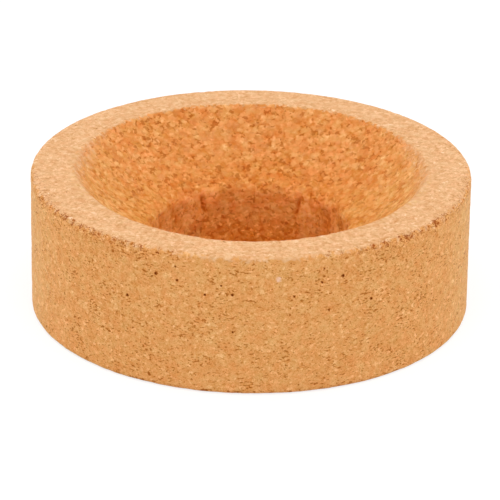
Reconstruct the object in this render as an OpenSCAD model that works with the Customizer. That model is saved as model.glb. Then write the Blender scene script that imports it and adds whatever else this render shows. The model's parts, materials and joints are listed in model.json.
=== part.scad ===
// Cork ring: a stand that holds a round-bottomed laboratory flask upright on the bench.
// It is one piece, cut and turned from a pressed block of ground cork: a flat-based ring with
// a flat top face, a spherical seat sunk into that face, and a plain bore through the middle.
// Millimetres, +Z up, origin at the centre of the base.

/* [Ring] */
// Outside diameter
ring_d = 80; // [72:1:120]
// Height, from the base to the top face
ring_h = 26; // [18:1:60]

/* [Seat] */
// Diameter of the flask bulb that the seat is turned to fit
flask_d = 85; // [70:1:250]
// Diameter of the seat's mouth in the top face
mouth_d = 64; // [44:1:70]

/* [Bore] */
// Diameter of the bore under the seat
bore_d = 35; // [15:1:55]

/* [Edges] */
// Radius worn and sanded onto the outer edges, top and base
rim_r = 0.8; // [0.2:0.1:2]
// Radius on the lip of the seat's mouth
mouth_r = 0.6; // [0.2:0.1:2]
// Radius on the lip where the seat runs into the bore
throat_r = 1.0; // [0.2:0.1:2]
// Radius on the bore's edge at the base
foot_r = 0.5; // [0.2:0.1:2]

/* [Look] */
// Colour of the pressed cork
cork_colour = "#DC9B5D";

/* [Hidden] */
$fn = 180;

// The seat is part of a sphere that stands on the ring's axis: the flask's own bulb.
seat_r = flask_d / 2;
seat_z = ring_h + sqrt(pow(seat_r, 2) - pow(mouth_d / 2, 2));
seat_centre = [0, seat_z];

// Centres of the lip roundings in the section, where x is the distance from the axis. A lip that
// runs into the seat touches it from outside the sphere, so its centre is seat_r + r from seat_centre.
rim_centre = [ring_d / 2 - rim_r, ring_h - rim_r];
heel_centre = [ring_d / 2 - rim_r, rim_r];
foot_centre = [bore_d / 2 + foot_r, foot_r];
mouth_centre = [
    sqrt(pow(seat_r + mouth_r, 2) - pow(seat_z - ring_h + mouth_r, 2)),
    ring_h - mouth_r
];
throat_centre = [
    bore_d / 2 + throat_r,
    seat_z - sqrt(pow(seat_r + throat_r, 2) - pow(bore_d / 2 + throat_r, 2))
];

// Directions in the section
outward = [1, 0];
inward = [-1, 0];
upward = [0, 1];
downward = [0, -1];

// Unit vector along v
function unit(v) = v / norm(v);

// The cutter that rounds a corner to radius r: the wedge beyond the arc about centre, between the
// two directions a and b in which the arc meets the faces on either side.
module lip_cutter(centre, r, a, b) {
    reach = 2 * r;
    translate(centre)
        difference() {
            polygon([[0, 0], reach * a, reach * (a + b), reach * b]);
            circle(r);
        }
}

// The turned section, to the right of the axis
module ring_section() {
    difference() {
        translate([bore_d / 2, 0])
            square([(ring_d - bore_d) / 2, ring_h]);
        translate(seat_centre)
            circle(seat_r);
        lip_cutter(rim_centre, rim_r, outward, upward);
        lip_cutter(heel_centre, rim_r, outward, downward);
        lip_cutter(foot_centre, foot_r, inward, downward);
        lip_cutter(mouth_centre, mouth_r, upward, unit(seat_centre - mouth_centre));
        lip_cutter(throat_centre, throat_r, inward, unit(seat_centre - throat_centre));
    }
}

module cork_ring() {
    color(cork_colour)
        rotate_extrude()
            ring_section();
}

cork_ring();
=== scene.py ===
"""A cork ring on a white studio floor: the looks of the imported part, laid out as an add-on."""

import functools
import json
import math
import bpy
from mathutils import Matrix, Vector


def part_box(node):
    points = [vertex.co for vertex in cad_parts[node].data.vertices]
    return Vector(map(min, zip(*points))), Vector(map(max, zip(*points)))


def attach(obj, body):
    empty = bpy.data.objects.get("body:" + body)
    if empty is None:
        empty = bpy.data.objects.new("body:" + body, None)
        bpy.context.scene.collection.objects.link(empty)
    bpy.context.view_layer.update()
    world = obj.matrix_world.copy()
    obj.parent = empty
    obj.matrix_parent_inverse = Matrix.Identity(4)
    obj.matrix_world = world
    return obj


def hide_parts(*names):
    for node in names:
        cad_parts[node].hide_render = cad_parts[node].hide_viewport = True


bl_info = {
    "name": "Cork Ring",
    "version": (1, 0, 0),
    "blender": (4, 5, 0),
    "location": "View3D > Sidebar > Cork Ring",
    "description": "A ring of pressed ground cork that holds a round flask, and its studio",
    "category": "Add Mesh",
}

import bpy
import numpy as np
from bpy.props import FloatProperty, PointerProperty, StringProperty
from mathutils import Matrix

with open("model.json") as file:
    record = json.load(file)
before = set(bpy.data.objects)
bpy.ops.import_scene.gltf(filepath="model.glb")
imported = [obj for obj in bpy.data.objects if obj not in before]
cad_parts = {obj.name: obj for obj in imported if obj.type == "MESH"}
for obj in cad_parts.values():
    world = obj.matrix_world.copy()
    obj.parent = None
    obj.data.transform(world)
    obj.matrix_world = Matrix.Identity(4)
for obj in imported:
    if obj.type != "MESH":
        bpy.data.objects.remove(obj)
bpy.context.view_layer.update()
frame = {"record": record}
ring_low, ring_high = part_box("cork_ring")
mounts = {mount["name"]: mount for mount in frame["record"]["mounts"]}

MM = 0.001  # metres in a millimetre


# ---------------------------------------------------------------- sizes and colours


class CorkRingSizes(bpy.types.PropertyGroup):
    """Sizes of the ring, its lips and its mesh."""

    ring_diameter: FloatProperty(
        name="Outside Diameter",
        description="Diameter of the ring's outer wall",
        default=ring_high.x - ring_low.x,
        min=0.06,
        unit="LENGTH",
    )
    ring_height: FloatProperty(
        name="Height",
        description="Height from the base to the top face",
        default=ring_high.z - ring_low.z,
        min=0.01,
        unit="LENGTH",
    )
    bore_diameter: FloatProperty(
        name="Bore",
        description="Diameter of the hole under the seat",
        default=2 * mounts["bore"]["dims"]["r_mm"] * MM,
        min=0.01,
        unit="LENGTH",
    )
    flask_diameter: FloatProperty(
        name="Flask",
        description="Diameter of the flask bulb that the seat is turned to fit",
        default=85 * MM,
        min=0.05,
        unit="LENGTH",
    )
    mouth_diameter: FloatProperty(
        name="Mouth",
        description="Diameter of the seat's mouth in the top face",
        default=64 * MM,
        min=0.04,
        unit="LENGTH",
    )
    rim_radius: FloatProperty(
        name="Rim Rounding",
        description="Radius sanded onto the two outer edges",
        default=0.8 * MM,
        min=0.0001,
        unit="LENGTH",
    )
    mouth_radius: FloatProperty(
        name="Mouth Rounding",
        description="Radius on the lip of the seat's mouth",
        default=0.6 * MM,
        min=0.0001,
        unit="LENGTH",
    )
    throat_radius: FloatProperty(
        name="Throat Rounding",
        description="Radius worn onto the lip where the seat runs into the bore",
        default=2.0 * MM,
        min=0.0001,
        unit="LENGTH",
    )
    foot_radius: FloatProperty(
        name="Foot Rounding",
        description="Radius on the bore's edge at the base",
        default=0.5 * MM,
        min=0.0001,
        unit="LENGTH",
    )
    mesh_spacing: FloatProperty(
        name="Mesh Spacing",
        description="Distance between the vertices of the surfaces that show",
        default=0.46 * MM,
        min=0.0002,
        unit="LENGTH",
    )


class CorkRingColours(bpy.types.PropertyGroup):
    """Colours of the cork, as sRGB hex values."""

    wall: StringProperty(
        name="Wall",
        description="Middle colour of the ground outer wall and the base",
        default="#E3A25F",
    )
    # Paler than the wall with sanding dust, and with painted sheen of the glancing view
    top: StringProperty(
        name="Top",
        description="Middle colour of the sanded top face",
        default="#E3AE7B",
    )
    seat: StringProperty(
        name="Seat",
        description="Middle colour of the turned seat near its mouth",
        default="#E39751",
    )
    hollow: StringProperty(
        name="Hollow",
        description="Middle colour of the lower part of the seat",
        default="#DF8E44",
    )
    # Darker than the rest of the cork, partly as painted shade of the hole
    bore: StringProperty(
        name="Bore",
        description="Middle colour of the drilled bore near the base",
        default="#D67C28",
    )
    chip: StringProperty(
        name="Pale Chip",
        description="Colour of the pale chip in the wall",
        default="#F6CDB4",
    )
    rosy: StringProperty(
        name="Rosy Granules",
        description="Colour of the redder granules",
        default="#A5481A",
    )


# ---------------------------------------------------------------- section of the ring


def line_run(start, end, spacing):
    """A straight run of the section: points at even steps from start up to end, with end left
    out, and the unit normal to the right of the way, which is the outward side."""
    start, end = np.array(start), np.array(end)
    steps = max(1, round(float(np.linalg.norm(end - start)) / spacing))
    along = np.linspace(0, 1, steps, endpoint=False)[:, None]
    way = (end - start) / np.linalg.norm(end - start)
    points = start + along * (end - start)
    normals = np.tile([way[1], -way[0]], (steps, 1))
    return points, normals


def arc_run(centre, radius, start, end, spacing):
    """A round run of the section: centre + radius * (cos, sin) of an angle that goes in even steps
    from start up to end, in radians, with end left out. The outward normal points away from the
    centre where the angle grows and towards it where the angle falls."""
    steps = max(2, round(abs(end - start) * radius / spacing))
    angle = np.linspace(start, end, steps, endpoint=False)
    spoke = np.stack([np.cos(angle), np.sin(angle)], axis=-1)
    return np.array(centre) + radius * spoke, math.copysign(1, end - start) * spoke


def ring_section(sizes):
    """The ring's closed section, where x is the distance from the axis and y the height. It runs
    up the wall, in over the top face, down the seat and the bore, and out along the base.

    The seat is part of the circle that stands on the axis and passes through the mouth. A lip
    that runs into the seat touches it from outside, so its centre lies seat_radius + its own
    radius from the seat's centre. Returns the points, their normals, and the length along the
    section at which each named run begins."""
    radius, height, bore = sizes.ring_diameter / 2, sizes.ring_height, sizes.bore_diameter / 2
    rim, lip, throat, foot = (
        sizes.rim_radius,
        sizes.mouth_radius,
        sizes.throat_radius,
        sizes.foot_radius,
    )
    seat = sizes.flask_diameter / 2
    seat_y = height + math.sqrt(seat**2 - (sizes.mouth_diameter / 2) ** 2)
    lip_x = math.sqrt((seat + lip) ** 2 - (seat_y - height + lip) ** 2)
    throat_y = seat_y - math.sqrt((seat + throat) ** 2 - (bore + throat) ** 2)
    lip_end = math.atan2(seat_y - height + lip, -lip_x)
    throat_start = math.atan2(seat_y - throat_y, -bore - throat)

    right, up, left, down, full = (quarter * math.pi / 2 for quarter in range(5))
    fine, tight, coarse = sizes.mesh_spacing, sizes.mesh_spacing / 2.2, sizes.mesh_spacing * 3
    runs = {
        "wall": line_run((radius, rim), (radius, height - rim), fine),
        "rim": arc_run((radius - rim, height - rim), rim, right, up, tight),
        "top": line_run((radius - rim, height), (lip_x, height), fine),
        "lip": arc_run((lip_x, height - lip), lip, up, lip_end, tight),
        "seat": arc_run((0, seat_y), seat, lip_end - math.pi, throat_start - math.pi, fine),
        "throat": arc_run((bore + throat, throat_y), throat, throat_start, left, tight),
        "bore": line_run((bore, throat_y), (bore, foot), fine),
        "foot": arc_run((bore + foot, foot), foot, left, down, tight),
        "base": line_run((bore + foot, 0), (radius - rim, 0), coarse),
        "heel": arc_run((radius - rim, rim), rim, down, full, tight),
    }
    points = np.concatenate([run[0] for run in runs.values()])
    normals = np.concatenate([run[1] for run in runs.values()])
    steps = np.linalg.norm(np.roll(points, -1, axis=0) - points, axis=1)
    lengths = np.concatenate([[0], np.cumsum(steps)])
    begins, first = {}, 0
    for name, run in runs.items():
        begins[name] = lengths[first]
        first += len(run[0])
    begins["end"] = lengths[-1]
    return points, normals, lengths, begins


# ---------------------------------------------------------------- grain worked out with numpy


def lattice_random(cells, salt):
    """A fixed random number from 0 to 1 for each cell of a whole-number lattice, and another for
    each salt: the cell's three numbers and the salt are multiplied by large odd numbers, joined
    by exclusive or, and mixed by shifts."""
    cells = cells.astype(np.int64).astype(np.uint32)
    mixed = cells[..., 0] * np.uint32(0x8DA6B343)
    mixed ^= cells[..., 1] * np.uint32(0xD8163841)
    mixed ^= cells[..., 2] * np.uint32(0xCB1AB31F)
    mixed ^= np.uint32((salt * 0x9E3779B1) & 0xFFFFFFFF)
    mixed ^= mixed >> np.uint32(15)
    mixed *= np.uint32(0x2C1B3C6D)
    mixed ^= mixed >> np.uint32(12)
    mixed *= np.uint32(0x297A2D39)
    mixed ^= mixed >> np.uint32(15)
    return mixed / 2**32


def smooth_noise(points, size, salt):
    """Noise from 0 to 1 with features of that size: the random numbers at the eight corners of a
    point's cell, weighted by the smooth step 3t^2 - 2t^3 of its place between them."""
    scaled = points / size
    corner = np.floor(scaled)
    part = scaled - corner
    part = part * part * (3 - 2 * part)
    total = np.zeros(len(points))
    for offset in np.ndindex(2, 2, 2):
        weight = np.prod(np.where(offset, part, 1 - part), axis=1)
        total += weight * lattice_random(corner + offset, salt)
    return total


def granules(points, size, salt):
    """The granule that each point lies in: one seed is set at random in each cell of a lattice of
    that size, and a point belongs to its nearest seed. Returns the distance to that seed, in
    sizes, and the granule's own random number."""
    scaled = points / size
    home = np.floor(scaled)
    nearest = np.full(len(points), np.inf)
    own = np.zeros(len(points))
    for offset in np.ndindex(3, 3, 3):
        cell = home + offset - 1
        seed = np.stack([lattice_random(cell, salt + axis) for axis in range(3)], axis=-1)
        distance = np.linalg.norm(cell + seed - scaled, axis=1)
        closer = distance < nearest
        nearest[closer] = distance[closer]
        own[closer] = lattice_random(cell, salt + 3)[closer]
    return nearest, own


def smooth_step(value, low, high):
    """0 below low and 1 above high, with 3t^2 - 2t^3 between them."""
    part = np.clip((value - low) / (high - low), 0, 1)
    return part * part * (3 - 2 * part)


# ---------------------------------------------------------------- relief of the ring

# Sizes are millimetres. Places are degrees round the axis from the front of the ring, to the
# right where positive, or on both sides where that is said

# How deep the granules' heights go, at the beginning of each run of the section
GRANULE_DEPTHS = {
    "wall": 0.05,
    "rim": 0.10,
    "top": 0.02,
    "lip": 0.08,
    "seat": 0.10,
    "throat": 0.22,
    "bore": 0.22,
    "foot": 0.10,
    "base": 0.03,
    "heel": 0.06,
    "end": 0.05,
}

# How far apart the pits of missing granules may lie, and how deep they are
PIT_SPACING, PIT_DEPTH = 4.2, 0.35

# Where granules have broken out of the outer top edge, on both sides: place, width along the
# edge, depth
RIM_CHIPS = [
    (63.0, 0.9, 0.5),
    (60.0, 1.0, 0.65),
    (55.5, 1.3, 1.0),
    (52.0, 1.0, 0.7),
    (48.5, 1.1, 0.65),
    (46.5, 0.9, 0.5),
    (43.5, 1.2, 0.65),
    (41.5, 1.0, 0.65),
    (36.5, 1.2, 0.75),
    (32.5, 1.3, 0.7),
    (28.5, 1.1, 0.65),
    (23.5, 0.9, 0.5),
    (20.0, 1.2, 0.45),
]

# Where the drill has torn the throat: place, lean in degrees a millimetre down, width round the
# bore, depth, and where the tear begins and ends below the lip
THROAT_TEARS = [
    (148, 0.8, 0.7, 0.6, 1.0, 8.0),
    (-148, -0.8, 0.7, 0.6, 1.0, 8.0),
    (128.5, 0.0, 2.4, 0.38, 1.6, 9.0),
    (-128.5, 0.0, 2.4, 0.38, 1.6, 9.0),
    (111, 0.0, 2.0, 0.32, 1.0, 6.0),
    (-111, 0.0, 2.0, 0.32, 1.0, 6.0),
    (60, 0.3, 1.4, 0.6, 0.0, 5.0),
    (-20, -0.5, 1.1, 0.6, -0.5, 4.0),
    (-75, 0.2, 1.5, 0.6, 0.5, 5.0),
]

# The mouth isn't quite round: how far its lip lies inside the circle, by the place on both sides
MOUTH_INSETS = {
    0: -0.35,
    12: -0.2,
    30: 0.3,
    45: 0.5,
    60: 0.75,
    75: 0.55,
    90: 0.0,
    120: -0.2,
    145: -0.4,
    165: -0.3,
    180: 0.0,
}

# How far the drill has rubbed the cork dark, with painted shade deeper in the bore, or worn it pale
# where below 0, with painted light on the throat's lip, by the distance down from the throat: first
# in the middle of the back, then everywhere else
RUBBED_AND_SHADED_BACK = {-1: 0, -0.2: -0.25, 0.8: -0.3, 2.5: -0.1, 5.0: 0, 7.5: 0.5, 10.0: 0.8}
RUBBED_AND_SHADED_SIDES = {-0.4: 0, 0.5: -0.8, 1.3: -0.9, 2.0: -0.3, 2.8: -0.75, 4.5: -0.65, 7.0: 0}

# Which way the relief of the outer top edge goes, down and in, and that of the throat, out and
# down, as shares of its depth
EDGE_WAY = math.sqrt(0.5)
THROAT_OUT, THROAT_DOWN = 0.8, 0.3


def band(value, low, full, ebbing, gone):
    """0 below low, 1 from full to ebbing and 0 again above gone, with smooth steps between."""
    return smooth_step(value, low, full) * (1 - smooth_step(value, ebbing, gone))


def profile(value, heights):
    """The height at a value: straight lines between the heights given, level beyond the ends."""
    return np.interp(value, list(heights), list(heights.values()))


def granule_relief(mm, along, begins):
    """Depth along the normal, and where the pits are, from 0 to 1.

    The depth of a granule is its own random number, plus half the distance from its seed, which
    domes it, plus wide soft lumps. All of it is multiplied by the depth that its run of the
    section has, which is most in the bore and least on the sanded top. Pits where single
    granules are missing lie from the lip down to the bore's foot, each round its own seed."""
    run_depth = profile(along, {begins[name]: depth for name, depth in GRANULE_DEPTHS.items()})
    distance, own = granules(mm * [1, 1, 1.2], 1.25, 11)
    lumps = smooth_noise(mm * [1, 1, 0.45], 2.6, 21)
    depth = run_depth * (0.9 * own + 0.5 * distance + 1.1 * lumps)

    distance, own = granules(mm, PIT_SPACING, 31)
    pit_radius = 0.07 + 0.07 * own
    pits = np.where(own > 0.55, 1 - (distance / pit_radius) ** 2, 0).clip(0, 1)
    pits *= (along > begins["lip"]) & (along < begins["base"])
    return depth + PIT_DEPTH * pits, pits


def edge_relief(mm, facing, from_rim, wall_radius):
    """Depth at the outer top edge, down and in at 45 degrees: granules that have crumbled away
    here and there, and the chips, each as deep as its depth times exp(-aside^2), where aside is
    the distance along the edge in half widths. Both end 1.5 mm from the edge."""
    crumb = granules(mm, 1.1, 41)[1]
    crumbling = 0.75 * (0.12 + 0.6 * band(facing, 18, 34, 62, 80))
    depth = crumbling * smooth_step(0.6 * smooth_noise(mm, 1.9, 51) + 0.4 * crumb, 0.55, 0.9)
    for place, width, chip_depth in RIM_CHIPS:
        aside = np.radians(facing - place) * wall_radius / (width / 2)
        depth = np.maximum(depth, chip_depth * np.exp(-(aside**2)) * (0.6 + 0.4 * crumb))
    return depth * (1 - smooth_step(from_rim, 0.3, 1.5))


def throat_relief(mm, place, along, from_throat, begins, bore_radius):
    """Depths at the throat and in the bore, down and out: first the drill's tears, each as deep
    as its depth times exp(-aside^2), where aside is the distance round the bore from the tear's
    wandering middle in half widths, and then the fine upright grooves that it leaves below."""
    tears = np.zeros(len(mm))
    wander = 0.5 * (smooth_noise(mm * [0.01, 0.01, 1], 2.0, 61) - 0.5)
    for tear_place, lean, width, depth, start, end in THROAT_TEARS:
        turned = (place - tear_place - lean * from_throat + 180) % 360 - 180
        narrowing = 1 - 0.5 * smooth_step(from_throat, start, end)
        aside = (np.radians(turned) * bore_radius + wander) / (width / 2 * narrowing)
        reach = band(from_throat, start - 0.3, start + 1, (start + end) / 2, end)
        tears = np.maximum(tears, depth * np.exp(-(aside**2)) * reach)
    in_bore = band(
        along, begins["throat"], begins["bore"], begins["foot"] - 2 * MM, begins["foot"]
    )
    grooves = smooth_noise(mm * [1, 1, 0.22], 1.1, 71)
    return tears, 0.35 * in_bore * smooth_step(grooves, 0.55, 0.95)


def torn_and_shaded_share(facing, along, from_rim, begins):
    """How torn the cork beside the outer top edge is, with painted shade in and under the chips:
    open granules over 5 mm of the wall under the chips, and a narrow crumbly margin on both sides
    of the edge, wider towards the sides."""
    under = band(facing, 22, 30, 64, 76) * (1 - 0.6 * smooth_step(facing, 44, 54))
    under *= 0.25 * (1 - smooth_step(from_rim, 0.5, 5)) * (along < begins["top"])
    reach = 0.9 + 2.0 * smooth_step(facing, 45, 70)
    margin = 0.28 * band(facing, 25, 40, 82, 95) * (1 - smooth_step(from_rim, 0.5, reach))
    return np.maximum(under, margin)


def rubbed_and_shaded_share(mm, facing, along, from_throat, begins):
    """How dark the drill has rubbed the throat and the bore, with painted shade deeper in the hole,
    and below 0, how pale they are worn, with painted light on the throat's lip.

    The distance down from the throat is made wavy, and the rubbing, painted shade and painted light
    follow it by one profile in the middle of the back and by another elsewhere, which ends at the
    foot. Beside the two tall tears the lip has worn shoulders, which are painted pale."""
    wavy = 1.2 * (smooth_noise(mm, 1.6, 81) + smooth_noise(mm, 5.0, 91) - 1)
    back = profile(from_throat + wavy, RUBBED_AND_SHADED_BACK)
    sides = profile(from_throat + 0.4 * wavy, RUBBED_AND_SHADED_SIDES)
    sides *= 0.6 + 0.4 * smooth_step(facing, 125, 140)
    rubbed_and_shaded = np.where(along < begins["base"], back, 0)
    rubbed_and_shaded += (sides - back) * (1 - smooth_step(facing, 148, 152)) * (along < begins["foot"])
    shoulders = band(facing, 148, 151, 156, 163) * band(from_throat, -0.8, 0.2, 1.5, 3)
    return rubbed_and_shaded - 0.8 * shoulders


def dust_and_sheen_share(facing, along, from_lip, begins):
    """How thick sanding dust lies, together with painted sheen. 1 is a full coat, and it may be
    more where dust has gathered.

    In the seat it lies under the lip towards the sides, where the seat is seen at a glancing angle
    and its pale is partly painted sheen, most of all in the first 2.5 mm. On the top face it lies
    towards the back, and on the outer edge in the middle of the front."""
    dust_and_sheen = band(facing, 20, 45, 100, 130)
    gathered = 0.5 + 1.5 * (1 - smooth_step(from_lip, 0.5, 2.5))
    dust_and_sheen += band(facing, 35, 55, 74, 90) * gathered
    dust_and_sheen = np.where(along < begins["lip"] - MM, smooth_step(facing, 105, 150), dust_and_sheen)
    dust_and_sheen += (along < begins["top"]) * (1 - smooth_step(facing, 8, 20))
    return dust_and_sheen * smooth_step(along, begins["rim"] - 0.6 * MM, begins["rim"])


def relief(points, turn, along, begins, sizes):
    """How far the surface lies inside the turned section, in metres, in four ways: along the
    normal, at the outer top edge, at the throat, and in towards the axis round the mouth's lip.

    Returns these and the shares that the material reads: how torn the surface is, with painted
    shade in its chips and pits; how far it is rubbed dark, with painted shade deeper in the bore,
    or worn pale, with painted light on the throat's lip; how open its grain is; how dusty it is,
    with painted sheen where the seat's sides are seen at a glancing angle; and how much painted
    sheen lies on the two sides of the wall."""
    mm = points / MM
    place = np.degrees(turn)
    facing = np.abs(place)
    from_rim = np.abs(along - (begins["rim"] + begins["top"]) / 2) / MM
    from_lip = (along - begins["lip"]) / MM
    from_throat = (along - (begins["throat"] + begins["bore"]) / 2) / MM

    normal_depth, pits = granule_relief(mm, along, begins)
    edge_depth = edge_relief(mm, facing, from_rim, sizes.ring_diameter / 2 / MM)
    bore_radius = sizes.bore_diameter / 2 / MM
    tears, grooves = throat_relief(mm, place, along, from_throat, begins, bore_radius)
    inset = profile(facing, MOUTH_INSETS) * band(from_lip, -3, 0, 0, 7)

    # A chip 0.9 mm deep is torn right through and painted as dark as the shade in its hollow, and
    # the mesh's pits count 0.4 of that; a tear 0.3 mm deep leaves nothing of the rubbing, painted
    # shade and painted light around it, while the tears and grooves are themselves painted dark as
    # the shade in them; and the grain is most open high on the wall, to both sides of its front
    torn_and_shaded = np.clip(edge_depth / 0.9 + 0.4 * pits, 0, 0.8)
    rubbed_and_shaded = rubbed_and_shaded_share(mm, facing, along, from_throat, begins)
    rubbed_and_shaded *= 1 - (tears / 0.3).clip(0, 1)
    open_grain = 0.45 + 0.25 * smooth_step(facing, 20, 28) * smooth_step(along, 0, begins["rim"])
    open_grain -= 0.5 * smooth_step(facing, 46, 58)
    under_rim = 1 - smooth_step(along, begins["rim"] - 0.6 * MM, begins["top"])
    shares = {
        "torn_and_shaded": np.maximum(torn_and_shaded, torn_and_shaded_share(facing, along, from_rim, begins)),
        "rubbed_and_shaded": rubbed_and_shaded + 1.7 * tears + 0.3 * grooves,
        "open_grain": open_grain.clip(0, 1),
        "dust_and_sheen": dust_and_sheen_share(facing, along, from_lip, begins),
        # Painted sheen on the wall's two sides, which are seen at a glancing angle
        "faded": 0.7 * band(facing, 58, 74, 106, 122) * under_rim,
    }
    return normal_depth * MM, edge_depth * MM, (tears + grooves) * MM, inset * MM, shares


def ring_mesh(sizes):
    """The ring as one closed mesh: its section carried round the axis.

    A vertex at the turn t, measured from the front, is (x sin t, -x cos t, y) for the section
    point (x, y), less its relief. U is the length round the ring and V the length along the
    section, both in metres, so that the finish of each face can be told from V."""
    points, normals, lengths, begins = ring_section(sizes)
    rings = len(points)
    spokes = int(2 * math.pi * sizes.ring_diameter / 2 / sizes.mesh_spacing)
    turn = np.linspace(-math.pi, math.pi, spokes, endpoint=False)

    section = np.repeat(np.arange(rings), spokes)
    turns = np.tile(turn, rings)
    x, y = points[section].T
    smooth = np.stack([x * np.sin(turns), -x * np.cos(turns), y], axis=-1)
    depth, edge, tear, inset, shares = relief(smooth, turns, lengths[section], begins, sizes)
    x = x - normals[section, 0] * depth - EDGE_WAY * edge + THROAT_OUT * tear - inset
    y = y - normals[section, 1] * depth - EDGE_WAY * edge - THROAT_DOWN * tear
    places = np.stack([x * np.sin(turns), -x * np.cos(turns), y], axis=-1)

    ring, spoke = np.divmod(np.arange(rings * spokes), spokes)
    after, beside = (ring + 1) % rings, (spoke + 1) % spokes
    corners = np.stack(
        [
            ring * spokes + spoke,
            ring * spokes + beside,
            after * spokes + beside,
            after * spokes + spoke,
        ],
        axis=-1,
    )
    round_length = sizes.ring_diameter / 2 * (turn[0] + np.arange(spokes + 1) * (turn[1] - turn[0]))
    here, there = round_length[spoke], round_length[spoke + 1]
    u = np.stack([here, there, there, here], axis=-1)
    v = np.stack([lengths[ring], lengths[ring], lengths[ring + 1], lengths[ring + 1]], axis=-1)

    mesh = bpy.data.meshes.new("cork_ring_turned")
    mesh.vertices.add(len(places))
    mesh.vertices.foreach_set("co", places.ravel())
    mesh.loops.add(corners.size)
    mesh.loops.foreach_set("vertex_index", corners.ravel())
    mesh.polygons.add(len(corners))
    mesh.polygons.foreach_set("loop_start", np.arange(0, corners.size, 4))
    mesh.polygons.foreach_set("use_smooth", np.ones(len(corners), bool))
    mesh.update(calc_edges=True)
    uv_layer = mesh.uv_layers.new(name="section")
    uv_layer.data.foreach_set("uv", np.stack([u, v], axis=-1).ravel())
    for name, share in shares.items():
        mesh.attributes.new(name, "FLOAT", "POINT").data.foreach_set("value", share)
    mesh.validate()
    return mesh, begins


# ---------------------------------------------------------------- materials


def linear(hex_colour, lift=0.0):
    """An sRGB hex colour such as "#C08040" as linear red, green, blue and alpha 1. The lift is
    added to the sRGB channels first, least to red, because dark cork is also deeper in colour."""
    channels = [int(hex_colour[place : place + 2], 16) / 255 for place in (1, 3, 5)]
    channels = [c + lift * share for c, share in zip(channels, (0.76, 1.0, 1.2))]
    channels = [min(max(c, 0.0), 1.0) for c in channels]
    bent = [c / 12.92 if c <= 0.04045 else ((c + 0.055) / 1.055) ** 2.4 for c in channels]
    return (*bent, 1.0)


def node(tree, kind, inputs=None, **settings):
    """Adds a node of that kind with its settings. Each input, named or numbered, gets a value, a
    link from a socket, or a link from a node's first output."""
    made = tree.nodes.new(kind)
    for name, value in settings.items():
        setattr(made, name, value)
    for key, value in (inputs or {}).items():
        shown = [socket for socket in made.inputs if socket.enabled]
        socket = shown[key] if isinstance(key, int) else next(s for s in shown if s.name == key)
        if isinstance(value, bpy.types.Node):
            value = next(out for out in value.outputs if out.enabled)
        if isinstance(value, bpy.types.NodeSocket):
            tree.links.new(value, socket)
        else:
            socket.default_value = value
    return made


# Dark cork is richer in tannin, which takes up blue most and red least: powers of the light that
# it lets back
TANNIN = (1.0, 1.6, 2.8)

# How much of the grain each finish shows, as the share of the span from black to white that a
# layer moves the tone: granules, crumbs, blotches, dust and mottle. Then how far groups of
# granules differ in hue, how dark the stains and the seams are, and what is added to the radius of
# the specks of bark, as a share of the cell that each lies in
FINISHES = {
    "wall": ((0.02, 0.06, 0.07), (0.26, 0.02), (0.40, 0.43, 0.18, -0.01)),
    "top": ((0.02, 0.11, 0.08), (0.22, 0.02), (0.25, 0.14, 0.08, -0.05)),
    "seat": ((0.09, 0.02, 0.12), (0.00, 0.06), (0.70, 0.30, 0.04, -0.06)),
    "hollow": ((0.09, 0.02, 0.12), (0.00, 0.06), (0.70, 0.28, 0.04, -0.06)),
    "bore": ((0.13, 0.05, 0.38), (0.00, 0.22), (0.40, 0.10, 0.08, -0.02)),
}

# The shades of a finish, dark to pale: how far each lies from the middle, in tone and in colour
SHADES = (-0.4, -0.2, -0.08, 0.08, 0.25)

# Single granules missing from the wall, painted dark as the shade in their holes: degrees round the
# axis from the front, height and diameter in millimetres
WALL_PITS = [
    (-23.8, 21.4, 0.55),
    (23.8, 21.4, 0.55),
    (-18.2, 20.8, 0.4),
    (18.2, 20.8, 0.4),
    (-32.0, 16.0, 0.5),
    (32.0, 16.0, 0.5),
    (-11.0, 18.7, 0.38),
    (11.2, 18.6, 0.42),
    (-4.2, 19.0, 0.42),
    (-4.0, 12.0, 0.3),
    (-18.7, 23.3, 0.3),
    (-7.0, 20.6, 0.32),
    (18.7, 23.3, 0.3),
]

# A pale chip of cork pressed into the wall's face, in the same measures
PALE_CHIP = (7.2, 21.9, 1.0)


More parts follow.
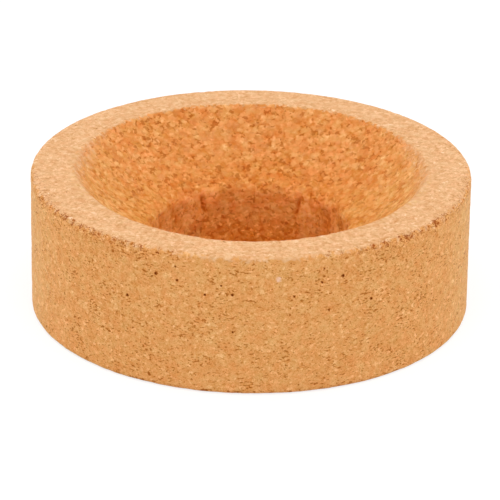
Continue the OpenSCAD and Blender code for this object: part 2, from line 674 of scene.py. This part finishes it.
def cork_material(colours, sizes, begins):
    """Agglomerated cork: bark ground to granules and pressed into a block with a binder.

    The eye sees tan granules in many near shades that run into each other, short stretches of the
    darker seams between them, specks of bark and small pits, painted dark as the shade in their
    holes. The wall is the pressed and ground skin of the block, fine and even. The top is sanded,
    so dust fills its pores and makes it pale, and painted sheen makes it paler still. The seat is
    turned, which opens whole granules and shows their deeper orange, and the bore is drilled and
    rough, and painted darker as the shade of the hole."""
    material = bpy.data.materials.new("agglomerated_cork")
    material.use_nodes = True
    tree = material.node_tree
    tree.nodes.clear()
    add = functools.partial(node, tree)

    # Millimetres, with heights stretched because pressing has flattened the granules, and more so
    # the flecks of bark. A noise of 0.9 mm bends them, so that no granule has straight sides
    place = add("ShaderNodeTexCoord").outputs["Object"]
    mm = add("ShaderNodeVectorMath", {0: place, 1: (1000, 1000, 1150)}, operation="MULTIPLY")
    flat = add("ShaderNodeVectorMath", {0: place, 1: (1000, 1000, 2000)}, operation="MULTIPLY")
    bend = add(
        "ShaderNodeTexNoise", {"Vector": mm, "Scale": 1 / 0.9, "Detail": 2.0, "Roughness": 0.6}
    )
    warped = add(
        "ShaderNodeVectorMath",
        {0: bend.outputs["Color"], 1: (1.3, 1.3, 1.3), 2: mm},
        operation="MULTIPLY_ADD",
    )

    # Cells: granules 1 mm across, crumbs of 0.55 mm, the seams between granules of 1.35 mm, and
    # cells of 1.6 mm that hold a speck of bark each
    granule = add(
        "ShaderNodeTexVoronoi",
        {"Vector": warped, "Scale": 1 / 1.0, "Smoothness": 0.3},
        feature="SMOOTH_F1",
    )
    crumb = add(
        "ShaderNodeTexVoronoi",
        {"Vector": warped, "Scale": 1 / 0.55, "Smoothness": 0.5},
        feature="SMOOTH_F1",
    )
    edge = add(
        "ShaderNodeTexVoronoi",
        {"Vector": warped, "Scale": 1 / 1.35},
        feature="DISTANCE_TO_EDGE",
    )
    speck = add("ShaderNodeTexVoronoi", {"Vector": warped, "Scale": 1 / 1.6})
    granule_own, crumb_own, speck_own = (
        add("ShaderNodeSeparateColor", {"Color": cells.outputs["Color"]})
        for cells in (granule, crumb, speck)
    )

    # Noises, by the size of their features in millimetres and their detail. Sanding dust is finer
    # than 0.1 mm, and is drawn as coarse as it needs to show
    noises = {
        "blotch": (warped, 0.8, 0.5),
        "dust": (mm, 0.22, 1.5),
        "patch": (mm, 0.5, 1.0),
        "fleck": (flat, 0.6, 1.5),
        "cluster": (mm, 4.0, 2.0),
        "mottle": (mm, 8.0, 3.0),
        "blush": (warped, 1.8, 2.0),
    }
    blotch, dust, patch, fleck, cluster, mottle, blush = (
        add("ShaderNodeTexNoise", {"Vector": vector, "Scale": 1 / size, "Detail": detail})
        for vector, size, detail in noises.values()
    )

    # The shares that come with the mesh
    torn_and_shaded, rubbed_and_shaded, open_grain, dust_and_sheen, faded = (
        add("ShaderNodeAttribute", attribute_name=name).outputs["Fac"]
        for name in ("torn_and_shaded", "rubbed_and_shaded", "open_grain", "dust_and_sheen", "faded")
    )

    # Seams show only here and there, where the binder has shrunk back, and more in some places
    line = add(
        "ShaderNodeMapRange",
        {
            "Value": edge.outputs["Distance"],
            "From Min": 0.02,
            "From Max": 0.12,
            "To Min": 1.0,
            "To Max": 0.0,
        },
        interpolation_type="SMOOTHSTEP",
    )
    shrunk = add("ShaderNodeMath", {0: cluster, 1: 0.5, 2: patch}, operation="MULTIPLY_ADD")
    shrunk = add("ShaderNodeMath", {0: open_grain, 1: 0.12, 2: shrunk}, operation="MULTIPLY_ADD")
    shrunk = add(
        "ShaderNodeMapRange",
        {"Value": shrunk, "From Min": 0.84, "From Max": 1.0},
        interpolation_type="SMOOTHSTEP",
    )
    seam = add("ShaderNodeMath", {0: line, 1: shrunk}, operation="MULTIPLY")

    # Finishes follow the length along the section, with ragged borders. Dust, with painted sheen,
    # carries the top's finish over the outer edge, and into the seat, where it ends crumb by crumb
    uv = add("ShaderNodeUVMap", uv_map="section")
    along = add("ShaderNodeSeparateXYZ", {"Vector": uv}).outputs["Y"]
    ragged = add("ShaderNodeMath", {0: blotch, 1: 3.0 * MM, 2: along}, operation="MULTIPLY_ADD")
    ragged = add("ShaderNodeMath", {0: ragged, 1: 1.5 * MM}, operation="SUBTRACT")
    raised = add("ShaderNodeMath", {0: dust_and_sheen, 1: 0.5 * MM, 2: ragged}, operation="MULTIPLY_ADD")
    broken = add(
        "ShaderNodeMath",
        {0: crumb_own.outputs["Blue"], 1: 3.5 * MM, 2: -2.0 * MM},
        operation="MULTIPLY_ADD",
    )
    broken = add("ShaderNodeMath", {0: dust_and_sheen, 1: broken, 2: ragged}, operation="MULTIPLY_ADD")
    lip_ends = add(
        "ShaderNodeMath",
        {0: dust_and_sheen, 1: 4.0 * MM, 2: begins["lip"] + 0.7 * MM},
        operation="MULTIPLY_ADD",
    )
    borders = {
        "top": (raised, begins["rim"] + 0.25 * MM, begins["top"]),
        "seat": (broken, begins["lip"], lip_ends),
        "hollow": (ragged, begins["lip"] + 9 * MM, begins["lip"] + 17 * MM),
        "wall": (ragged, begins["foot"], begins["base"]),
    }
    masks = {
        name: add(
            "ShaderNodeMapRange",
            {"Value": value, "From Min": start, "From Max": end},
            interpolation_type="SMOOTHSTEP",
        )
        for name, (value, start, end) in borders.items()
    }
    # Down the seat the dust and painted sheen thin out quickly at first and then slowly
    masks["seat"] = add("ShaderNodeMath", {0: masks["seat"], 1: 0.35}, operation="POWER")
    # The bore's darker finish is wherever the drill has rubbed, and deeper in the hole it is
    # painted shade
    masks["bore"] = rubbed_and_shaded

    # What makes the tone: the grain, and the dust and mottle over it. Under a coat of dust and
    # painted sheen the grains of dust can't be told apart
    domed = add(
        "ShaderNodeMath",
        {0: granule.outputs["Distance"], 1: -1.0, 2: granule_own.outputs["Red"]},
        operation="MULTIPLY_ADD",
    )
    grain = add("ShaderNodeCombineXYZ", {0: domed, 1: crumb_own.outputs["Red"], 2: blotch})
    grain = add("ShaderNodeVectorMath", {0: grain, 1: (0.1, 0.5, 0.5)}, operation="SUBTRACT")
    cover = add("ShaderNodeCombineXYZ", {0: dust, 1: mottle})
    cover = add("ShaderNodeVectorMath", {0: cover, 1: (0.5, 0.5, 0.0)}, operation="SUBTRACT")
    clear = add(
        "ShaderNodeMath", {0: dust_and_sheen, 1: -0.55, 2: 1.0}, operation="MULTIPLY_ADD", use_clamp=True
    )
    clears = add("ShaderNodeCombineXYZ", {0: clear, 1: 1.0})
    cover = add("ShaderNodeVectorMath", {0: cover, 1: clears}, operation="MULTIPLY")

    # Each finish has its own tone, colours and marks
    ramps = {}
    for name, (grain_gains, cover_gains, marks) in FINISHES.items():
        under = add("ShaderNodeVectorMath", {0: grain, 1: grain_gains}, operation="DOT_PRODUCT")
        over = add(
            "ShaderNodeVectorMath", {0: cover, 1: (*cover_gains, 0)}, operation="DOT_PRODUCT"
        )
        tone = add(
            "ShaderNodeMath",
            {0: under.outputs["Value"], 1: over.outputs["Value"]},
            operation="ADD",
        )
        tone = add("ShaderNodeMath", {0: tone, 1: 0.5}, operation="ADD")
        ramps[name] = add("ShaderNodeValToRGB", {"Fac": tone})
        elements = ramps[name].color_ramp.elements
        for _ in SHADES[2:]:  # a new ramp has two elements
            elements.new(0.5)
        for element, shade in zip(elements, SHADES):
            element.position = 0.5 + shade
            element.color = linear(getattr(colours, name), shade)

    # They are laid one over another along the section, and the base has the wall's again
    colour = ramps["wall"]
    hue, *marks = FINISHES["wall"][2]
    for name in ("top", "seat", "hollow", "bore", "wall"):
        own_hue, *own_marks = FINISHES[name][2]
        colour = add(
            "ShaderNodeMix",
            {"Factor": masks[name], "A": colour, "B": ramps[name]},
            data_type="RGBA",
        )
        hue = add("ShaderNodeMix", {"Factor": masks[name], "A": hue, "B": own_hue})
        marks = add(
            "ShaderNodeMix",
            {"Factor": masks[name], "A": marks, "B": own_marks},
            data_type="VECTOR",
        )
    marks = add("ShaderNodeSeparateXYZ", {"Vector": marks})

    # Some groups of granules are rosier and some yellower, by their green and blue. Dust and
    # painted sheen in the seat, and the painted sheen on the two sides of the wall, are yellower
    # too
    blush = add("ShaderNodeMath", {0: blush, 1: 0.5}, operation="SUBTRACT")
    blush = add("ShaderNodeMath", {0: blush, 1: hue}, operation="MULTIPLY")
    tint = add(
        "ShaderNodeVectorMath",
        {0: blush, 1: (0.0, 1.0, 1.6), 2: (1, 1, 1)},
        operation="MULTIPLY_ADD",
    )
    dust_and_sheen_pale = add(
        "ShaderNodeMath", {0: dust_and_sheen, 1: masks["seat"], 2: faded}, operation="MULTIPLY_ADD"
    )
    tint = add(
        "ShaderNodeVectorMath",
        {0: dust_and_sheen_pale, 1: (0.0, 0.11, 0.13), 2: tint},
        operation="MULTIPLY_ADD",
    )
    colour = add("ShaderNodeVectorMath", {0: colour, 1: tint}, operation="MULTIPLY")

    # Small soft stains of bark between the granules, longer than they are high. On the turned seat
    # they are single dark granules and crumbs instead. Dust and painted sheen hide up to half of a
    # stain
    stain = add("ShaderNodeMath", {0: cluster, 1: 0.45, 2: fleck}, operation="MULTIPLY_ADD")
    stain = add("ShaderNodeMath", {0: open_grain, 1: -0.06, 2: stain}, operation="MULTIPLY_ADD")
    stain = add(
        "ShaderNodeMapRange",
        {"Value": stain, "From Min": 0.48, "From Max": 0.61, "To Min": 1.0, "To Max": 0.0},
        interpolation_type="SMOOTHSTEP",
    )
    dot = add(
        "ShaderNodeMath",
        {0: granule_own.outputs["Green"], 1: 0.6, 2: crumb_own.outputs["Green"]},
        operation="MULTIPLY_ADD",
    )
    dot = add(
        "ShaderNodeMapRange",
        {"Value": dot, "From Min": 0.25, "From Max": 0.60, "To Min": 1.0, "To Max": 0.0},
        interpolation_type="SMOOTHSTEP",
    )
    stain = add("ShaderNodeMix", {"Factor": masks["seat"], "A": stain, "B": dot})
    calm = add("ShaderNodeMath", {0: clear, 1: 0.5, 2: 0.5}, operation="MULTIPLY_ADD")
    stain = add("ShaderNodeMath", {0: stain, 1: calm}, operation="MULTIPLY")
    stain = add("ShaderNodeMath", {0: stain, 1: marks.outputs["X"]}, operation="MULTIPLY")
    seam = add("ShaderNodeMath", {0: seam, 1: marks.outputs["Y"]}, operation="MULTIPLY")

    # Specks of bark, one at most to a cell: many tiny ones and a few up to 0.6 mm across
    radius = add("ShaderNodeMath", {0: speck_own.outputs["Green"], 1: 3.0}, operation="POWER")
    radius = add(
        "ShaderNodeMath", {0: radius, 1: 0.19, 2: marks.outputs["Z"]}, operation="MULTIPLY_ADD"
    )
    radius = add("ShaderNodeMath", {0: open_grain, 1: 0.03, 2: radius}, operation="MULTIPLY_ADD")
    frayed = add("ShaderNodeMath", {0: dust, 1: 0.25, 2: radius}, operation="MULTIPLY_ADD")
    inside = add("ShaderNodeMath", {0: frayed, 1: speck.outputs["Distance"]}, operation="SUBTRACT")
    bark = add(
        "ShaderNodeMapRange",
        {"Value": inside, "From Min": 0.09, "From Max": 0.18},
        interpolation_type="SMOOTHSTEP",
    )
    depth = add(
        "ShaderNodeMapRange", {"Value": speck_own.outputs["Red"], "To Min": 0.25, "To Max": 0.8}
    )
    bark = add("ShaderNodeMath", {0: bark, 1: depth}, operation="MULTIPLY")

    # How many radii away each pit in the wall and the pale chip are
    aways = []
    for turn, height, width in (*WALL_PITS, PALE_CHIP):
        middle = (math.radians(turn) * sizes.ring_diameter / 2, height * MM - sizes.rim_radius, 0)
        away = add("ShaderNodeVectorMath", {0: uv, 1: middle}, operation="DISTANCE")
        away = add(
            "ShaderNodeMath",
            {0: away.outputs["Value"], 1: width * MM / 2},
            operation="DIVIDE",
        )
        aways.append(away)
    *pits_away, chip_away = aways

    # Pits are painted as dark as bark, as the shade in their holes, with frayed edges
    nearest = 9.0
    for away in pits_away:
        nearest = add("ShaderNodeMath", {0: away, 1: nearest}, operation="MINIMUM")
    nearest = add("ShaderNodeMath", {0: dust, 1: -2.4, 2: nearest}, operation="MULTIPLY_ADD")
    pit_shade = add(
        "ShaderNodeMapRange",
        {"Value": nearest, "From Min": -0.6, "From Max": 0.3, "To Min": 1.0, "To Max": 0.0},
        interpolation_type="SMOOTHSTEP",
    )
    bark = add("ShaderNodeMath", {0: bark, 1: pit_shade}, operation="MAXIMUM")

    # Where the edge crumbles, specks of torn cork show, painted darker the further in they lie, as
    # the shade in the chips' hollows
    break_up = add("ShaderNodeMath", {0: patch, 1: 1.5, 2: -0.75}, operation="MULTIPLY_ADD")
    break_up = add("ShaderNodeMath", {0: dust, 1: 2.0, 2: break_up}, operation="MULTIPLY_ADD")
    inside = add("ShaderNodeMath", {0: torn_and_shaded, 1: 1.5}, operation="MULTIPLY")
    inside = add("ShaderNodeMath", {0: inside, 1: break_up}, operation="SUBTRACT")
    opened_and_shaded = add(
        "ShaderNodeMapRange",
        {"Value": inside, "From Min": -0.6, "From Max": 0.1},
        interpolation_type="SMOOTHSTEP",
    )
    some = add("ShaderNodeMapRange", {"Value": torn_and_shaded, "From Min": 0.02, "From Max": 0.1})
    opened_and_shaded = add("ShaderNodeMath", {0: opened_and_shaded, 1: some}, operation="MULTIPLY")

    # Where the drill has rubbed hardest it has scored the cork, which is also painted shade in the
    # tears, and where the share is below 0 the cork is worn pale, which is also painted light on
    # the throat's lip
    scored_and_shaded = add("ShaderNodeMapRange", {"Value": rubbed_and_shaded, "From Min": 0.8, "From Max": 1.5})
    worn_and_lit = add(
        "ShaderNodeMapRange",
        {"Value": rubbed_and_shaded, "From Min": -1.0, "From Max": 0.0, "To Min": -1.0, "To Max": 0.0},
    )

    # Single granules are redder, and so is cork that has been broken open
    redder = add(
        "ShaderNodeMapRange",
        {"Value": granule_own.outputs["Blue"], "From Min": 0.6, "From Max": 0.95, "To Max": 0.2},
    )
    shown = add("ShaderNodeMapRange", {"Value": masks["seat"], "To Min": 0.25, "To Max": 1.0})
    redder = add("ShaderNodeMath", {0: redder, 1: shown}, operation="MULTIPLY")
    for mark, share in ((opened_and_shaded, 0.65), (scored_and_shaded, 0.4)):
        redder = add("ShaderNodeMath", {0: mark, 1: share, 2: redder}, operation="MULTIPLY_ADD")
    colour = add(
        "ShaderNodeMix",
        {"Factor": redder, "A": colour, "B": linear(colours.rosy)},
        data_type="RGBA",
    )

    # Here and there a crumb is paler than the rest, less so on the top and under dust and painted
    # sheen
    pale = add(
        "ShaderNodeMapRange",
        {"Value": crumb_own.outputs["Green"], "From Min": 0.72, "From Max": 0.95, "To Max": -1.0},
        interpolation_type="SMOOTHSTEP",
    )
    even = add("ShaderNodeMapRange", {"Value": masks["top"], "To Min": 1.0, "To Max": 0.7})
    even = add("ShaderNodeMath", {0: rubbed_and_shaded, 1: 1.2, 2: even}, operation="MULTIPLY_ADD")
    even = add("ShaderNodeMath", {0: even, 1: clear}, operation="MULTIPLY")
    pale = add("ShaderNodeMath", {0: pale, 1: even}, operation="MULTIPLY")

    # How much light each mark holds back, one after another. Marks below 0 give light instead
    held_back = (
        (stain, 1.0),
        (seam, 1.0),
        (bark, 0.8),
        (opened_and_shaded, 0.25),
        (scored_and_shaded, 0.2),
        (worn_and_lit, 0.28),
        (pale, 0.18),
    )
    light = 1.0
    for mark, strength in held_back:
        kept = add("ShaderNodeMath", {0: mark, 1: -strength, 2: 1.0}, operation="MULTIPLY_ADD")
        light = add("ShaderNodeMath", {0: light, 1: kept}, operation="MULTIPLY")
    deepened = add("ShaderNodeVectorMath", {0: light, 1: TANNIN}, operation="POWER")
    colour = add("ShaderNodeVectorMath", {0: colour, 1: deepened}, operation="MULTIPLY")

    # The pale chip lies over all of it, with a ragged outline
    chip_away = add("ShaderNodeMath", {0: patch, 1: 2.0, 2: chip_away}, operation="MULTIPLY_ADD")
    chip = add(
        "ShaderNodeMapRange",
        {"Value": chip_away, "From Min": 1.3, "From Max": 2.3, "To Min": 0.7, "To Max": 0.0},
        interpolation_type="SMOOTHSTEP",
    )
    colour = add(
        "ShaderNodeMix", {"Factor": chip, "A": colour, "B": linear(colours.chip)}, data_type="RGBA"
    )

    # Relief that is too fine for the mesh: soft granules, dust, and the marks' own hollows
    height = add(
        "ShaderNodeMath",
        {0: granule.outputs["Distance"], 1: -0.4, 2: blotch},
        operation="MULTIPLY_ADD",
    )
    for mark, rise in ((dust, 0.5), (seam, -0.3), (bark, -0.25), (opened_and_shaded, -0.4)):
        height = add("ShaderNodeMath", {0: mark, 1: rise, 2: height}, operation="MULTIPLY_ADD")
    bump = add("ShaderNodeBump", {"Height": height, "Strength": 0.3, "Distance": 0.25 * MM})
    # The tops of the granules are worn a little smoother than the hollows between them
    matt = add(
        "ShaderNodeMapRange",
        {"Value": height, "From Min": 0.2, "From Max": 0.95, "To Min": 0.62, "To Max": 0.4},
    )

    # Cut cork is open cells, so it mirrors very little light
    shader = add(
        "ShaderNodeBsdfPrincipled",
        {
            "Base Color": colour,
            "Roughness": matt,
            "IOR": 1.45,
            "Specular IOR Level": 0.05,
            "Normal": bump,
        },
    )
    add("ShaderNodeOutputMaterial", {"Surface": shader})
    return material


def studio_white(tree, plain, seen):
    """Mixes two shaders so that the camera, mirrors and glass see one and all other light the
    other."""
    path = node(tree, "ShaderNodeLightPath")
    sharp = node(
        tree,
        "ShaderNodeMath",
        {0: path.outputs["Is Camera Ray"], 1: path.outputs["Is Glossy Ray"]},
        operation="MAXIMUM",
    )
    sharp = node(
        tree,
        "ShaderNodeMath",
        {0: sharp, 1: path.outputs["Is Transmission Ray"]},
        operation="MAXIMUM",
    )
    return node(tree, "ShaderNodeMixShader", {0: sharp, 1: plain, 2: seen})


def floor_material():
    """Matt white studio paper: it lights the ring from below as paper does, and is seen white,
    but for the ring's soft shadow."""
    material = bpy.data.materials.new("matt_white_paper")
    material.use_nodes = True
    tree = material.node_tree
    tree.nodes.clear()
    paper = node(tree, "ShaderNodeBsdfDiffuse", {"Color": linear("#E7E7E7")})
    shadow = node(tree, "ShaderNodeBsdfDiffuse", {"Color": linear("#959595")})
    glow = node(tree, "ShaderNodeEmission", {"Color": linear("#FFFFFF"), "Strength": 0.75})
    seen = node(tree, "ShaderNodeAddShader", {0: shadow, 1: glow})
    node(tree, "ShaderNodeOutputMaterial", {"Surface": studio_white(tree, paper, seen)})
    return material


# ---------------------------------------------------------------- operators

# Softboxes: name, place and side in metres, power in watts
SOFTBOXES = [
    ("softbox_overhead", (0, -0.5, 1.0), 0.9, 4.0),
    ("softbox_left", (-0.9, 0.3, 0.45), 0.6, 1.8),
    ("softbox_right", (0.9, 0.3, 0.45), 0.6, 1.8),
]

# Strength of the room's even light
ROOM_LIGHT = 0.78

# Side of the floor in metres
FLOOR_SIDE = 6.0

# The camera: place in metres, degrees that it looks down and leans, lens and sensor in millimetres
EYE_PLACE, EYE_DOWN, EYE_LEAN = (0, -0.5622, 0.2591), 23.91, 0.82
LENS, SENSOR = 241.7, 36


class CORK_OT_ring(bpy.types.Operator):
    """Build the cork ring in place of its plain solid"""

    bl_idname = "cork.ring"
    bl_label = "Cork Ring"

    def execute(self, context):
        sizes = context.scene.cork_ring_sizes
        mesh, begins = ring_mesh(sizes)
        ring = bpy.data.objects.new("pressed_cork_ring", mesh)
        context.scene.collection.objects.link(ring)
        mesh.materials.append(cork_material(context.scene.cork_ring_colours, sizes, begins))
        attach(ring, "root")
        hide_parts("cork_ring")
        return {"FINISHED"}


class CORK_OT_stage(bpy.types.Operator):
    """Set the white floor, the lights and the camera"""

    bl_idname = "cork.stage"
    bl_label = "Stage"

    def execute(self, context):
        scene = context.scene
        scene.view_settings.view_transform = "Standard"

        half = FLOOR_SIDE / 2
        corners = [(-half, -half, 0), (half, -half, 0), (half, half, 0), (-half, half, 0)]
        mesh = bpy.data.meshes.new("studio_floor")
        mesh.from_pydata(corners, [], [(0, 1, 2, 3)])
        floor = bpy.data.objects.new("studio_floor", mesh)
        scene.collection.objects.link(floor)
        mesh.materials.append(floor_material())

        world = bpy.data.worlds.new("white_studio")
        scene.world = world
        world.use_nodes = True
        tree = world.node_tree
        tree.nodes.clear()
        white = linear("#FFFFFF")
        plain = node(tree, "ShaderNodeBackground", {"Color": white, "Strength": ROOM_LIGHT})
        seen = node(tree, "ShaderNodeBackground", {"Color": white, "Strength": 1.0})
        node(tree, "ShaderNodeOutputWorld", {"Surface": studio_white(tree, plain, seen)})

        for name, place, side, power in SOFTBOXES:
            lamp = bpy.data.lights.new(name, "AREA")
            lamp.shape = "SQUARE"
            lamp.size = side
            lamp.energy = power
            softbox = bpy.data.objects.new(name, lamp)
            softbox.location = place
            softbox.rotation_euler = (-softbox.location).to_track_quat("-Z", "Y").to_euler()
            scene.collection.objects.link(softbox)

        camera = bpy.data.cameras.new("camera")
        camera.lens = LENS
        camera.sensor_width = SENSOR
        camera.clip_start, camera.clip_end = 0.01, 20
        eye = bpy.data.objects.new("camera", camera)
        tilt = Matrix.Rotation(math.radians(90 - EYE_DOWN), 4, "X")
        roll = Matrix.Rotation(math.radians(EYE_LEAN), 4, "Z")
        eye.matrix_world = Matrix.Translation(EYE_PLACE) @ tilt @ roll
        scene.collection.objects.link(eye)
        scene.camera = eye
        return {"FINISHED"}


class CORK_PT_panel(bpy.types.Panel):
    """Sizes, colours and build steps of the cork ring"""

    bl_idname = "CORK_PT_panel"
    bl_label = "Cork Ring"
    bl_space_type = "VIEW_3D"
    bl_region_type = "UI"
    bl_category = "Cork Ring"

    def draw(self, context):
        for group in (context.scene.cork_ring_sizes, context.scene.cork_ring_colours):
            for name in group.bl_rna.properties.keys():
                if name not in ("rna_type", "name"):
                    self.layout.prop(group, name)
        for operator in (CORK_OT_ring, CORK_OT_stage):
            self.layout.operator(operator.bl_idname)


CLASSES = (CorkRingSizes, CorkRingColours, CORK_OT_ring, CORK_OT_stage, CORK_PT_panel)


def register():
    """Registers the classes and gives each scene the ring's sizes and colours."""
    for cls in CLASSES:
        bpy.utils.register_class(cls)
    bpy.types.Scene.cork_ring_sizes = PointerProperty(type=CorkRingSizes)
    bpy.types.Scene.cork_ring_colours = PointerProperty(type=CorkRingColours)


def unregister():
    """Takes back all that register did."""
    del bpy.types.Scene.cork_ring_colours
    del bpy.types.Scene.cork_ring_sizes
    for cls in reversed(CLASSES):
        bpy.utils.unregister_class(cls)


def main():
    """Builds the ring and its studio."""
    register()
    bpy.ops.cork.ring()
    bpy.ops.cork.stage()


if __name__ == "__main__":
    main()
